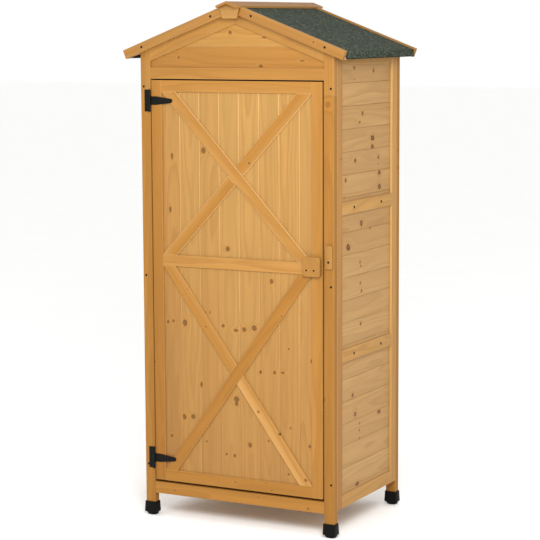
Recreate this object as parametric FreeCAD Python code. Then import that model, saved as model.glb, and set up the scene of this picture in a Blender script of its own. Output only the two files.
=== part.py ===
import FreeCAD, Part
import math
import os

# Garden storage cabinet on four legs, with a boarded door, boarded walls and a felted roof.
# Millimetres, +Z up, the origin on the ground under the middle, the front towards -Y.

# Overall sizes of the case
case_width = 710.0
case_depth = 512.0
eave_under = 1573.3
roof_pitch = 20.73

# Posts and the front frame
post_wide = 36.0
post_deep = 24.0
post_foot = 14.5
post_top = 1431.0
front_rail_low = 78.5
front_rail_high = 40.0
head_rail_low = 1479.0
head_rail_high = 36.0
rafter_wide = 46.5
gable_lap = 3.0

# Side and back panels, rebated from the inside to hold their boards
panel_stock = 18.0
panel_lip = 8.0
panel_lap = 13.5
panel_stile = 38.0
panel_rail = 40.0
panel_bottom = 87.5
panel_open = 440.0

# Tongued and grooved boards
board_cover = 73.5
board_thick = 10.0
board_joint = 0.3
board_chamfer = 1.2
tongue_long = 5.0
tongue_thick = 4.0
groove_play = 0.15

# Door, hung flush with the posts
door_stile = 38.0
door_rail = 38.0
door_stock = 23.8
door_lip = 6.0
door_lap = 7.8
door_gap_hinge = 4.0
door_gap_latch = 5.5
door_gap_low = 7.8
door_gap_high = 4.7
mid_rail_low = 859.0
mid_rail_high = 38.0
brace_foot_upper = 53.0
brace_foot_lower = 46.5
stop_wide = 30.0
stop_deep = 18.0

# Turn bar and catch
catch_inset = 1.5
catch_wide = 60.4
catch_low = 855.0
catch_high = 63.0
catch_plate_thick = 8.0
catch_corner = 7.0
spacer_thick = 9.0
spacer_high = 35.0
bar_wide = 22.4
bar_thick = 8.0
bar_long_arm = 53.0
bar_short_arm = 22.5
bar_corner = 3.0
pivot_inset = 16.5
pivot_height = 903.2
bar_seat = 0.3

# Strap hinges
hinge_tall = 72.0
hinge_pin_inset = 35.0
hinge_leaf_out = 20.5
hinge_steel = 2.0
barrel_radius = 4.0
barrel_lift = 0.2
pin_radius = 1.6
pin_head_radius = 2.9
pin_head_high = 1.0
strap_high = 28.2
strap_straight = 24.0
strap_long = 78.3
strap_tip_radius = 7.0
strap_reach = 85.0
strap_tip_on_brace = 8.0
leaf_screw_inset = 13.0
leaf_screw_spread = 22.0
strap_screw_reach = 17.0
strap_screw_spread = 7.5

# Roof
felt_thick = 2.0
eave_reach = 45.0
eave_batten_wide = 20.0
eave_batten_thick = 8.0
verge_thick = 10.5
verge_high = 22.0
barge_high = 30.0
barge_thick = 16.0
barge_stand = 4.7
barge_start = 37.5
barge_overhang = 52.0
barge_screw_high = 74.0
barge_screw_low = 335.0
ridge_half = 38.0
ridge_thick = 8.0
ridge_overhang = 58.3
finial_half_top = 33.5
finial_half_low = 27.0
finial_low = 1674.0
finial_neck = 22.6
finial_proud = 8.5

# Floor and shelves
floor_top = 118.5
floor_bearer_high = 24.0
floor_bearer_wide = 20.0
bearer_high = 30.0
bearer_wide = 20.0
shelf_set_back = 37.0
shelf_cleat_high = 18.0
shelf_cleat_wide = 36.0
shelf_cleat_inset = 120.0

# Foot cups
cup_wall_top = 3.5
cup_wall_low = 5.0
cup_top = 47.0
cup_rim_low = 10.5
cup_rim_high = 3.0
glide_radius = 16.0
glide_flat_radius = 9.5
glide_shoulder_radius = 14.0
glide_shoulder_high = 2.4
glide_side_high = 6.5
glide_flats = 24

# Screws
screw_radius = 2.0
screw_head_radius = 3.8
screw_head_crown = 2.4
screw_head_high = 1.8
small_screw_radius = 1.6
small_head_radius = 3.2
small_head_crown = 2.0
small_head_high = 1.3
head_flats = 8
shank_flats = 6
post_screw_long = 45.0
post_screw_inset = 11.0
post_screw_heights = [177.0, 823.0, 1453.0]
shelf_screw_long = 34.0
shelf_screw_spread = 106.0
barge_screw_long = 25.0
catch_screw_long = 28.0
catch_screw_low = 20.0
catch_screw_near = 12.4
catch_screw_far = 39.4
leaf_screw_long = 20.0
strap_screw_long = 16.0
tip_screw_long = 14.0
pivot_screw_long = 32.0
head_play = 0.2

# Clearances
fit_gap = 0.3
running_gap = 0.05
ridge_gap = 0.1
brace_gap = 0.2
tiny_piece = 60.0

# Places worked out from the sizes
half_width = case_width / 2.0
half_depth = case_depth / 2.0
post_in = half_width - post_wide
front_face = -half_depth
front_back = front_face + post_deep
slope = math.tan(math.radians(roof_pitch))
pitch_cos = math.cos(math.radians(roof_pitch))
pitch_sin = math.sin(math.radians(roof_pitch))
ridge_under = eave_under + half_width * slope
felt_top_rise = (board_thick + felt_thick) / pitch_cos
barge_top_rise = felt_top_rise + barge_stand / pitch_cos
front_rail_top = front_rail_low + front_rail_high
head_rail_top = head_rail_low + head_rail_high
door_left = -post_in + door_gap_hinge
door_right = post_in - door_gap_latch
door_low = front_rail_top + door_gap_low
door_top = head_rail_low - door_gap_high
door_rail_low_top = door_low + door_rail
door_rail_high_low = door_top - door_rail
mid_rail_top = mid_rail_low + mid_rail_high
left_open = door_left + door_stile
right_open = door_right - door_stile
pin_x = -half_width + hinge_pin_inset
pin_y = front_face - barrel_radius - barrel_lift
catch_right = door_right - catch_inset
catch_left = catch_right - catch_wide
pivot_x = half_width - pivot_inset
eave_x = half_width + eave_reach
roof_end = half_depth + verge_thick

# The hinges sit where their straps' tips come over the braces
upper_brace_fall = (door_rail_high_low - mid_rail_top) / (right_open - left_open - brace_foot_upper)
lower_brace_rise = (mid_rail_low - door_rail_low_top) / (right_open - left_open - brace_foot_lower)
strap_tip_in = pin_x + strap_long - strap_tip_on_brace - left_open
hinge_top_height = door_rail_high_low - strap_tip_in * upper_brace_fall
hinge_bottom_height = door_rail_low_top + strap_tip_in * lower_brace_rise

side_openings = []
for section in range(3):
    section_low = panel_bottom + panel_rail + section * (panel_open + panel_rail)
    side_openings.append((section_low, section_low + panel_open))
back_openings = side_openings[:2] + [(side_openings[2][0], head_rail_low - panel_rail)]
shelf_rail_levels = [side_openings[0][1] + panel_rail / 2.0, side_openings[1][1] + panel_rail / 2.0]


# Plain shapes
def vector(x, y, z):
    return FreeCAD.Vector(x, y, z)


def block(x0, x1, y0, y1, z0, z1):
    return Part.makeBox(x1 - x0, y1 - y0, z1 - z0, vector(x0, y0, z0))


def swept(points, run):
    ring = list(points)
    ring.append(ring[0])
    return Part.Face(Part.makePolygon(ring)).extrude(run)


# A flat outline seen from the front, given as (x, z) pairs and made thick along Y
def upright(outline, y0, y1):
    return swept([vector(x, y0, z) for x, z in outline], vector(0, y1 - y0, 0))


def mirrored_x(shape):
    return shape.mirror(vector(0, 0, 0), vector(1, 0, 0))


def mirrored_y(shape):
    return shape.mirror(vector(0, 0, 0), vector(0, 1, 0))


def joined(first, second):
    return first.fuse(second).removeSplitter()


# Height of the roof boards' underside at a distance from the middle
def under(x):
    return ridge_under - abs(x) * slope


# A piece that follows the right slope between two rises above the boards' underside, with upright ends
def roof_layer(x0, x1, rise_low, rise_high, y0, y1):
    outline = [
        (x0, under(x0) + rise_low / pitch_cos),
        (x1, under(x1) + rise_low / pitch_cos),
        (x1, under(x1) + rise_high / pitch_cos),
        (x0, under(x0) + rise_high / pitch_cos),
    ]
    return upright(outline, y0, y1)


# One tongued and grooved board: groove at its start, tongue at its far edge, chamfered on its face
def board_outline():
    body = board_cover - board_joint
    tongue_low = (board_thick - tongue_thick) / 2.0
    tongue_high = tongue_low + tongue_thick
    groove_low = tongue_low - groove_play
    groove_high = tongue_high + groove_play
    groove_deep = tongue_long + groove_play
    return [
        (board_chamfer, 0.0),
        (body - board_chamfer, 0.0),
        (body, board_chamfer),
        (body, tongue_low),
        (body + tongue_long, tongue_low),
        (body + tongue_long, tongue_high),
        (body, tongue_high),
        (body, board_thick),
        (0.0, board_thick),
        (0.0, groove_high),
        (groove_deep, groove_high),
        (groove_deep, groove_low),
        (0.0, groove_low),
        (0.0, board_chamfer),
    ]


# One square-edged board of the same cover, for floor, shelves and roof
def plain_outline():
    body = board_cover - board_joint
    return [(0.0, 0.0), (body, 0.0), (body, board_thick), (0.0, board_thick)]


# Boards side by side from a corner point, trimmed to the pocket that they fill
def boarding(outline, corner, across, inward, run, count, pocket):
    pieces = []
    for number in range(count):
        start = corner + across * (number * board_cover)
        points = [start + across * u + inward * t for u, t in outline]
        piece = swept(points, run).common(pocket)
        if piece.Volume > tiny_piece:
            pieces.extend(piece.Solids)
    return pieces


def boards_for(length):
    return int(math.ceil(length / board_cover))


# A block in a wall's own frame: along the wall, in from its outer face, and up
def wall_block(wall, u0, u1, t0, t1, z0, z1):
    corner, across, inward = wall
    points = []
    for u, t in [(u0, t0), (u1, t0), (u1, t1), (u0, t1)]:
        points.append(corner + across * u + inward * t + vector(0, 0, z0))
    return swept(points, vector(0, 0, z1 - z0))


# A framed and boarded panel: two rebated stiles, a rail between openings, boards in the rebates
def framed_panel(wall, width, stock, bottom, top, openings):
    corner, across, inward = wall
    stiles = []
    rails = []
    boards = []
    inner = panel_stile - panel_lap
    near = wall_block(wall, 0, panel_stile, 0, stock, bottom, top)
    near_rebate = wall_block(wall, inner, panel_stile, panel_lip, stock, bottom, top)
    far = wall_block(wall, width - panel_stile, width, 0, stock, bottom, top)
    far_rebate = wall_block(wall, width - panel_stile, width - inner, panel_lip, stock, bottom, top)
    stiles.append(near.cut(near_rebate))
    stiles.append(far.cut(far_rebate))
    for level in range(len(openings) + 1):
        low = bottom if level == 0 else openings[level - 1][1]
        high = top if level == len(openings) else openings[level][0]
        core_low = low if level == 0 else low + panel_lap
        core_high = high if level == len(openings) else high - panel_lap
        lip = wall_block(wall, panel_stile, width - panel_stile, 0, panel_lip, low, high)
        core = wall_block(wall, inner, width - inner, panel_lip, stock, core_low, core_high)
        rails.append(joined(lip, core))
    for low, high in openings:
        pocket_low = low - panel_lap + fit_gap
        pocket_high = high + panel_lap - fit_gap
        start = inner + fit_gap
        finish = width - inner - fit_gap
        pocket = wall_block(
            wall, start, finish, panel_lip, panel_lip + board_thick, pocket_low, pocket_high
        )
        count = boards_for(pocket_high - pocket_low)
        first = high + panel_lap - count * board_cover
        place = corner + across * start + inward * panel_lip + vector(0, 0, first)
        run = across * (finish - start)
        boards.extend(
            boarding(board_outline(), place, vector(0, 0, 1), inward, run, count, pocket)
        )
    return stiles, rails, boards


# A regular outline round an axis
def flats(place, axis, radius, count):
    side = vector(0, 0, 1) if abs(axis.z) < 0.5 else vector(1, 0, 0)
    other = axis.cross(side)
    points = []
    for number in range(int(count)):
        angle = 2.0 * math.pi * number / int(count)
        points.append(place + side * (radius * math.cos(angle)) + other * (radius * math.sin(angle)))
    return points


# A flat-sided solid through rings that have the same number of points
def through_rings(rings):
    closed = [ring + ring[:1] for ring in rings]
    faces = [Part.Face(Part.makePolygon(closed[0])), Part.Face(Part.makePolygon(closed[-1]))]
    for below, above in zip(closed, closed[1:]):
        for near, far, far_above, near_above in zip(below, below[1:], above[1:], above):
            faces.append(Part.Face(Part.makePolygon([near, far, far_above, near_above, near])))
    shell = Part.Shell(faces)
    shell.sewShape()
    solid = Part.Solid(shell)
    if solid.Volume < 0.0:
        solid.reverse()
    return solid


# A wood screw: a low head with a bevelled edge outside the face, and a shank that fills its hole
def wood_screw(place, inward, length, radius, head_radius, crown_radius, head_high):
    crown = flats(place - inward * head_high, inward, crown_radius, head_flats)
    seat = flats(place, inward, head_radius, head_flats)
    head = through_rings([crown, seat])
    shank = swept(flats(place, inward, radius, shank_flats), inward * length)
    return head.fuse(shank).Solids[0]


def large_screw(place, inward, length):
    return wood_screw(
        place, inward, length, screw_radius, screw_head_radius, screw_head_crown, screw_head_high
    )


def small_screw(place, inward, length):
    return wood_screw(
        place, inward, length, small_screw_radius, small_head_radius, small_head_crown, small_head_high
    )


# A round screw that something turns on
def pivot_pin(place, inward, length):
    crown = flats(place - inward * screw_head_high, inward, screw_head_crown, head_flats)
    seat = flats(place, inward, screw_head_radius, head_flats)
    shank = Part.makeCylinder(screw_radius, length, place, inward)
    return through_rings([crown, seat]).fuse(shank).Solids[0]


# Cuts each screw's hole out of a piece
def drilled(piece, screws):
    return piece.cut(Part.makeCompound(screws))


def save(name, pieces):
    shape = pieces[0] if len(pieces) == 1 else Part.makeCompound(pieces)
    shape.exportStep("parts/" + name + ".step")


os.makedirs("parts", exist_ok=True)

# Everything above the roof boards' underside, used to bevel what stands under the roof
roof_space = upright(
    [
        (-2 * half_width, under(2 * half_width)),
        (0.0, ridge_under),
        (2 * half_width, under(2 * half_width)),
        (2 * half_width, 2 * ridge_under),
        (-2 * half_width, 2 * ridge_under),
    ],
    -case_depth,
    case_depth,
)

# Screws of the case, all with black heads
forward = vector(0, 1, 0)
backward = vector(0, -1, 0)
case_screws = []
post_screw_x = half_width - post_screw_inset
for post_screw_side in (-1, 1):
    for post_screw_z in post_screw_heights:
        place_x = post_screw_side * post_screw_x
        case_screws.append(
            large_screw(vector(place_x, front_face, post_screw_z), forward, post_screw_long)
        )
        case_screws.append(
            large_screw(vector(place_x, half_depth, post_screw_z), backward, post_screw_long)
        )
for shelf_screw_z in shelf_rail_levels:
    for shelf_screw_y in (-shelf_screw_spread, shelf_screw_spread):
        for shelf_screw_side in (-1, 1):
            place = vector(shelf_screw_side * half_width, shelf_screw_y, shelf_screw_z)
            case_screws.append(large_screw(place, vector(-shelf_screw_side, 0, 0), shelf_screw_long))
barge_face = roof_end + barge_thick
for barge_screw_x in (-barge_screw_low, -barge_screw_high, barge_screw_high, barge_screw_low):
    barge_screw_z = under(barge_screw_x) + barge_top_rise - barge_high / 2.0 / pitch_cos
    case_screws.append(
        large_screw(vector(barge_screw_x, -barge_face, barge_screw_z), forward, barge_screw_long)
    )
    case_screws.append(
        large_screw(vector(barge_screw_x, barge_face, barge_screw_z), backward, barge_screw_long)
    )
save("case_screws", case_screws)

# Turn bar's pivot screw and the hinge leaves' screws
bar_front = front_face - bar_seat - bar_thick
pivot_place = vector(pivot_x, bar_front - head_play, pivot_height)
pivot_screw = pivot_pin(pivot_place, forward, pivot_screw_long)
save("latch_pivot_screw", [pivot_screw])
leaf_face = front_face - hinge_steel
leaf_screws = []
for hinge_height in (hinge_top_height, hinge_bottom_height):
    for offset in (-leaf_screw_spread, 0.0, leaf_screw_spread):
        place = vector(pin_x - leaf_screw_inset, leaf_face, hinge_height + offset)
        leaf_screws.append(small_screw(place, forward, leaf_screw_long))
save("hinge_plate_screws", leaf_screws)

# Front posts, the left one carrying the hinges and the right one the turn bar
front_post = block(post_in, half_width, front_face, front_back, post_foot, post_top)
save("front_post_left", [drilled(mirrored_x(front_post), case_screws + leaf_screws)])
save("front_post_right", [drilled(front_post, case_screws + [pivot_screw])])
save(
    "front_bottom_rail",
    [block(-post_in, post_in, front_face, front_back, front_rail_low, front_rail_top)],
)

# Gable panel over the door: short stiles on the posts, head rail, raking rails and two boards
gable_stile = block(post_in, half_width, front_face, front_back, post_top, ridge_under)
gable_stile = gable_stile.cut(roof_space)
save(
    "gable_stiles",
    [
        drilled(mirrored_x(gable_stile), case_screws + leaf_screws),
        drilled(gable_stile, case_screws),
    ],
)


def rafter_low(x):
    return under(x) - rafter_wide / pitch_cos


# The space inside the gable's frame, reached out by the rebate and drawn back by a clearance
def gable_pocket(gap, t0, t1):
    lap = panel_lap / pitch_cos - gap
    low = head_rail_top - gable_lap + gap
    side = post_in - gap
    outline = [
        (-side, low),
        (side, low),
        (side, rafter_low(side) + lap),
        (0.0, rafter_low(0.0) + lap),
        (-side, rafter_low(side) + lap),
    ]
    return upright(outline, front_face + t0, front_face + t1)


gable_rebate = gable_pocket(0.0, panel_lip, post_deep)
head_rail = block(-post_in, post_in, front_face, front_back, head_rail_low, head_rail_top)
head_rail = head_rail.cut(gable_rebate)
rafter = roof_layer(ridge_gap, post_in, -rafter_wide, 0.0, front_face, front_back).cut(gable_rebate)
gable_space = gable_pocket(fit_gap, panel_lip, panel_lip + board_thick)
gable_corner = vector(-post_in, front_face + panel_lip, head_rail_top - gable_lap + fit_gap)
gable_run = vector(2 * post_in, 0, 0)
gable_boards = boarding(
    board_outline(), gable_corner, vector(0, 0, 1), forward, gable_run, 2, gable_space
)
save("gable_head_rail", [head_rail])
save("gable_rafters", [mirrored_x(rafter), rafter])
save("gable_boards", gable_boards)
save("back_rafters", [mirrored_y(rafter), mirrored_y(mirrored_x(rafter))])

# Side panels between the front and the back posts
side_wide = case_depth - 2 * post_deep
right_wall = (vector(half_width, front_back, 0), vector(0, 1, 0), vector(-1, 0, 0))
side_stiles, side_rails, side_boards = framed_panel(
    right_wall, side_wide, panel_stock, panel_bottom, ridge_under, side_openings
)
side_stiles = [piece.cut(roof_space) for piece in side_stiles]
side_rails = [piece.cut(roof_space) for piece in side_rails]
save("side_stiles_right", [drilled(piece, case_screws) for piece in side_stiles])
save("side_rails_right", [drilled(piece, case_screws) for piece in side_rails])
save("side_boards_right", side_boards)
save("side_stiles_left", [drilled(mirrored_x(piece), case_screws) for piece in side_stiles])
save("side_rails_left", [drilled(mirrored_x(piece), case_screws) for piece in side_rails])
save("side_boards_left", [mirrored_x(piece) for piece in side_boards])

# Back: full-height posts, a framed panel between them, and a gable like the front one
back_post = block(post_in, half_width, -front_back, half_depth, post_foot, ridge_under)
back_post = back_post.cut(roof_space)
save(
    "back_posts",
    [drilled(mirrored_x(back_post), case_screws), drilled(back_post, case_screws)],
)
back_wall = (vector(-post_in, half_depth, 0), vector(1, 0, 0), vector(0, -1, 0))
back_stiles, back_rails, back_boards = framed_panel(
    back_wall, 2 * post_in, post_deep, panel_bottom, head_rail_low, back_openings
)
save("back_stiles", back_stiles)
save("back_rails", back_rails + [mirrored_y(head_rail)])
save("back_boards", back_boards + [mirrored_y(piece) for piece in gable_boards])

# Floor boards on bearers that are fixed along the sides, with a joist in the middle
inner_x = half_width - panel_stock
floor_low = floor_top - board_thick
floor_space = block(
    -inner_x + fit_gap,
    inner_x - fit_gap,
    front_back + fit_gap,
    -front_back - fit_gap,
    floor_low,
    floor_top,
)
floor_corner = vector(-inner_x, front_back + fit_gap, floor_top)
floor_boards = boarding(
    plain_outline(),
    floor_corner,
    vector(0, 1, 0),
    vector(0, 0, -1),
    vector(2 * inner_x, 0, 0),
    boards_for(side_wide),
    floor_space,
)
save("floor_boards", floor_boards)
bearer_low = floor_low - floor_bearer_high
side_bearer = block(
    inner_x - floor_bearer_wide, inner_x, front_back, -front_back, bearer_low, floor_low
)
joist = block(
    -inner_x + floor_bearer_wide + fit_gap,
    inner_x - floor_bearer_wide - fit_gap,
    -floor_bearer_wide / 2.0,
    floor_bearer_wide / 2.0,
    bearer_low,
    floor_low,
)
save("floor_bearers", [mirrored_x(side_bearer), joist, side_bearer])

# Two shelves of boards on cleats, resting on bearers that are screwed to the sides' rails
shelf_front = front_back + shelf_set_back
shelf_back = -front_back - fit_gap
shelf_bearers = []
for shelf_level in shelf_rail_levels:
    shelf_bearer = block(
        inner_x - bearer_wide,
        inner_x,
        shelf_front,
        shelf_back,
        shelf_level - bearer_high / 2.0,
        shelf_level + bearer_high / 2.0,
    )
    shelf_bearers.append(drilled(mirrored_x(shelf_bearer), case_screws))
    shelf_bearers.append(drilled(shelf_bearer, case_screws))
save("shelf_bearers", shelf_bearers)


def shelf(level):
    low = level + bearer_high / 2.0
    space = block(
        -inner_x + fit_gap, inner_x - fit_gap, shelf_front, shelf_back, low, low + board_thick
    )
    corner = vector(-inner_x, shelf_front, low + board_thick)
    run = vector(2 * inner_x, 0, 0)
    count = boards_for(shelf_back - shelf_front)
    pieces = boarding(
        plain_outline(), corner, vector(0, 1, 0), vector(0, 0, -1), run, count, space
    )
    for cleat_x in (-shelf_cleat_inset, shelf_cleat_inset):
        cleat_left = cleat_x - shelf_cleat_wide / 2.0
        cleat_right = cleat_x + shelf_cleat_wide / 2.0
        pieces.append(
            block(cleat_left, cleat_right, shelf_front, shelf_back, low - shelf_cleat_high, low)
        )
    return pieces


save("shelf_lower", shelf(shelf_rail_levels[0]))
save("shelf_upper", shelf(shelf_rail_levels[1]))

# Roof boards on each slope, with battens under the eaves and at the verges
roof_pocket = roof_layer(ridge_gap, eave_x, 0.0, board_thick, -half_depth, half_depth)
down_slope = vector(pitch_cos, 0, -pitch_sin)
out_of_slope = vector(pitch_sin, 0, pitch_cos)
roof_corner = vector(0, -half_depth, ridge_under) - down_slope * (board_thick * slope)
roof_boards = boarding(
    plain_outline(),
    roof_corner,
    down_slope,
    out_of_slope,
    vector(0, case_depth, 0),
    boards_for(eave_x / pitch_cos + board_thick),
    roof_pocket,
)
save("roof_boards_right", roof_boards)
save("roof_boards_left", [mirrored_x(piece) for piece in roof_boards])
eave_batten = roof_layer(
    eave_x - eave_batten_wide, eave_x, -eave_batten_thick, 0.0, -half_depth, half_depth
)
verge_batten = roof_layer(
    ridge_gap, eave_x, board_thick - verge_high, board_thick, -roof_end, -half_depth
)
roof_battens = [eave_batten, mirrored_x(eave_batten)]
for verge_piece in (verge_batten, mirrored_x(verge_batten)):
    roof_battens.append(drilled(verge_piece, case_screws))
    roof_battens.append(drilled(mirrored_y(verge_piece), case_screws))
save("roof_battens", roof_battens)

# One sheet of mineral felt over both slopes, folded down over the eaves
fold_low = under(eave_x) - eave_batten_thick / pitch_cos
felt_x = eave_x + felt_thick
felt_under_rise = board_thick / pitch_cos
felt_right = [
    (eave_x, under(eave_x) + felt_under_rise),
    (eave_x, fold_low),
    (felt_x, fold_low),
    (felt_x, under(felt_x) + felt_top_rise),
]
felt_left = [(-x, z) for x, z in reversed(felt_right)]
felt_outline = [(0.0, ridge_under + felt_under_rise)] + felt_right
felt_outline += [(0.0, ridge_under + felt_top_rise)] + felt_left
save("roof_felt", [upright(felt_outline, -roof_end, roof_end)])

# Bargeboards, cut square at both ends
barge_tip = half_width + barge_overhang
barge_outline = []
for barge_x in (barge_start, barge_tip):
    barge_outline.append((barge_x, under(barge_x) + barge_top_rise))
for barge_x in (barge_tip, barge_start):
    barge_outline.append(
        (
            barge_x - barge_high * pitch_sin,
            under(barge_x) + barge_top_rise - barge_high * pitch_cos,
        )
    )
barge = upright(barge_outline, -barge_face, -roof_end)
save("bargeboard_front_right", [drilled(barge, case_screws)])
save("bargeboard_front_left", [drilled(mirrored_x(barge), case_screws)])
save("bargeboard_back_right", [drilled(mirrored_y(barge), case_screws)])
save("bargeboard_back_left", [drilled(mirrored_y(mirrored_x(barge)), case_screws)])

# Ridge boards lie on the felt and reach past the bargeboards
ridge_end = half_depth + ridge_overhang
felt_apex = ridge_under + felt_top_rise
ridge_top_rise = felt_top_rise + ridge_thick / pitch_cos
ridge_outline = [
    (ridge_gap, felt_apex - ridge_gap * slope),
    (ridge_half - ridge_thick * pitch_sin, under(ridge_half) + ridge_top_rise - ridge_thick * pitch_cos),
    (ridge_half, under(ridge_half) + ridge_top_rise),
    (ridge_gap, under(ridge_gap) + ridge_top_rise),
]
ridge_board = upright(ridge_outline, -ridge_end, ridge_end)
save("ridge_board_right", [ridge_board])
save("ridge_board_left", [mirrored_x(ridge_board)])

# Finial block between the bargeboards' ends, standing proud of them
finial_shoulder = felt_apex - fit_gap - finial_half_top * slope


def finial_outline(half_low):
    return [
        (0.0, felt_apex - fit_gap),
        (finial_half_top, finial_shoulder),
        (half_low, finial_low),
        (-half_low, finial_low),
        (-finial_half_top, finial_shoulder),
    ]


finial_front_face = -barge_face - finial_proud
finial_plate = upright(finial_outline(finial_half_low), finial_front_face, -barge_face - fit_gap)
finial_core = upright(finial_outline(finial_neck), -barge_face - fit_gap, -roof_end)
finial = joined(finial_plate, finial_core)
save("finial_front", [finial])
save("finial_back", [mirrored_y(finial)])

# Foot cups with a domed glide under each leg
cup_x = half_width - post_wide / 2.0
cup_y = half_depth - post_deep / 2.0


def cup_ring(wall, height):
    half_x = post_wide / 2.0 + wall
    half_y = post_deep / 2.0 + wall
    return [
        vector(cup_x - half_x, -cup_y - half_y, height),
        vector(cup_x + half_x, -cup_y - half_y, height),
        vector(cup_x + half_x, -cup_y + half_y, height),
        vector(cup_x - half_x, -cup_y + half_y, height),
    ]


cup_rim_top = cup_rim_low + cup_rim_high
cup_body = through_rings(
    [
        cup_ring(cup_wall_low, cup_rim_low),
        cup_ring(cup_wall_low, cup_rim_top),
        cup_ring(cup_wall_top, cup_top),
    ]
)
glide_rings = []
for ring_radius, ring_height in (
    (glide_flat_radius, 0.0),
    (glide_shoulder_radius, glide_shoulder_high),
    (glide_radius, glide_side_high),
    (glide_radius, cup_rim_low),
):
    ring_place = vector(cup_x, -cup_y, ring_height)
    glide_rings.append(flats(ring_place, vector(0, 0, 1), ring_radius, glide_flats))
glide = through_rings(glide_rings)
leg_space = block(
    cup_x - post_wide / 2.0,
    cup_x + post_wide / 2.0,
    -cup_y - post_deep / 2.0,
    -cup_y + post_deep / 2.0,
    post_foot,
    cup_top,
)
cup = cup_body.fuse(glide).removeSplitter().cut(leg_space)
save("foot_cap_front_right", [cup])
save("foot_cap_front_left", [mirrored_x(cup)])
save("foot_cap_back_right", [mirrored_y(cup)])
save("foot_cap_back_left", [mirrored_y(mirrored_x(cup))])

# Door stop behind the latch post, overlapping the door's edge
stop_left = inner_x - stop_wide
save(
    "door_stop",
    [
        block(
            stop_left, inner_x, front_back, front_back + stop_deep, floor_top + fit_gap, head_rail_low
        )
    ],
)

# Door: rebated frame with full-height boards behind the middle rail and the braces
strap_screws = []
tip_screws = []
for hinge_height in (hinge_top_height, hinge_bottom_height):
    for offset in (-strap_screw_spread, strap_screw_spread):
        place = vector(pin_x + strap_screw_reach, leaf_face, hinge_height + offset)
        strap_screws.append(small_screw(place, forward, strap_screw_long))
    place = vector(pin_x + strap_long, leaf_face, hinge_height)
    tip_screws.append(small_screw(place, forward, tip_screw_long))
catch_face = front_face - spacer_thick - catch_plate_thick
catch_screws = []
for catch_reach in (catch_screw_near, catch_screw_far):
    place = vector(catch_left + catch_reach, catch_face, catch_low + catch_screw_low)
    catch_screws.append(large_screw(place, forward, catch_screw_long))
door_screws = strap_screws + tip_screws + catch_screws
save("door_screws", door_screws)

door_back = front_face + door_stock
rebate_face = front_face + door_lip
door_rebate = block(
    left_open - door_lap, right_open + door_lap, rebate_face, door_back, door_low, door_top
)
stile_left = block(door_left, left_open, front_face, door_back, door_low, door_top).cut(door_rebate)
stile_right = block(right_open, door_right, front_face, door_back, door_low, door_top).cut(door_rebate)
save("door_stile_left", [drilled(stile_left, door_screws)])
save("door_stile_right", [drilled(stile_right, door_screws)])


def door_cross_rail(low, high, core_low, core_high):
    lip = block(left_open, right_open, front_face, rebate_face, low, high)
    core = block(
        left_open - door_lap, right_open + door_lap, rebate_face, door_back, core_low, core_high
    )
    return joined(lip, core)


low_rail = door_cross_rail(door_low, door_rail_low_top, door_low, door_rail_low_top - door_lap)
high_rail = door_cross_rail(door_rail_high_low, door_top, door_rail_high_low + door_lap, door_top)
mid_rail = block(left_open, right_open, front_face, rebate_face, mid_rail_low, mid_rail_top)
save("door_rails", [low_rail, drilled(mid_rail, door_screws), high_rail])

door_space = block(
    left_open - door_lap + fit_gap,
    right_open + door_lap - fit_gap,
    rebate_face,
    rebate_face + board_thick,
    door_rail_low_top - door_lap + fit_gap,
    door_rail_high_low + door_lap - fit_gap,
)
door_corner = vector(left_open - door_lap + fit_gap, rebate_face, door_low)
door_boards = boarding(
    board_outline(),
    door_corner,
    vector(1, 0, 0),
    forward,
    vector(0, 0, door_top - door_low),
    boards_for(right_open - left_open + 2 * door_lap),
    door_space,
)
save("door_boards", [drilled(piece, door_screws) for piece in door_boards])


# Two crossing braces with level end cuts: the first runs through, the second is cut to meet it
def cross_braces(low, high, foot, falling_through):
    def brace(left_height, right_height, gap):
        outline = [
            (left_open - gap, left_height),
            (left_open + foot + gap, left_height),
            (right_open + gap, right_height),
            (right_open - foot - gap, right_height),
        ]
        return upright(outline, front_face, rebate_face)

    through_ends = (high, low) if falling_through else (low, high)
    crossing_ends = (low, high) if falling_through else (high, low)
    crossing = brace(*crossing_ends, 0.0).cut(brace(*through_ends, brace_gap))
    return [brace(*through_ends, 0.0)] + crossing.Solids


upper_braces = cross_braces(mid_rail_top, door_rail_high_low, brace_foot_upper, True)
lower_braces = cross_braces(door_rail_low_top, mid_rail_low, brace_foot_lower, False)
save("door_braces_upper", [drilled(piece, door_screws) for piece in upper_braces])
save("door_braces_lower", [drilled(piece, door_screws) for piece in lower_braces])

# Catch: a rounded plate over a spacer, leaving a slot above it for the turn bar
plate = block(
    catch_left,
    catch_right,
    catch_face,
    front_face - spacer_thick,
    catch_low,
    catch_low + catch_high,
)
plate_corners = [edge for edge in plate.Edges if abs(edge.BoundBox.YLength - catch_plate_thick) < 0.01]
plate = plate.makeFillet(catch_corner, plate_corners)
spacer = block(
    catch_left, catch_right, front_face - spacer_thick, front_face, catch_low, catch_low + spacer_high
)
spacer_corners = []
for edge in spacer.Edges:
    runs_deep = abs(edge.BoundBox.YLength - spacer_thick) < 0.01
    if runs_deep and edge.BoundBox.ZMax < catch_low + 1.0:
        spacer_corners.append(edge)
spacer = spacer.makeFillet(catch_corner, spacer_corners)
save("catch_plate", [drilled(plate, catch_screws)])
save("catch_spacer", [drilled(spacer, catch_screws)])

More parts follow.
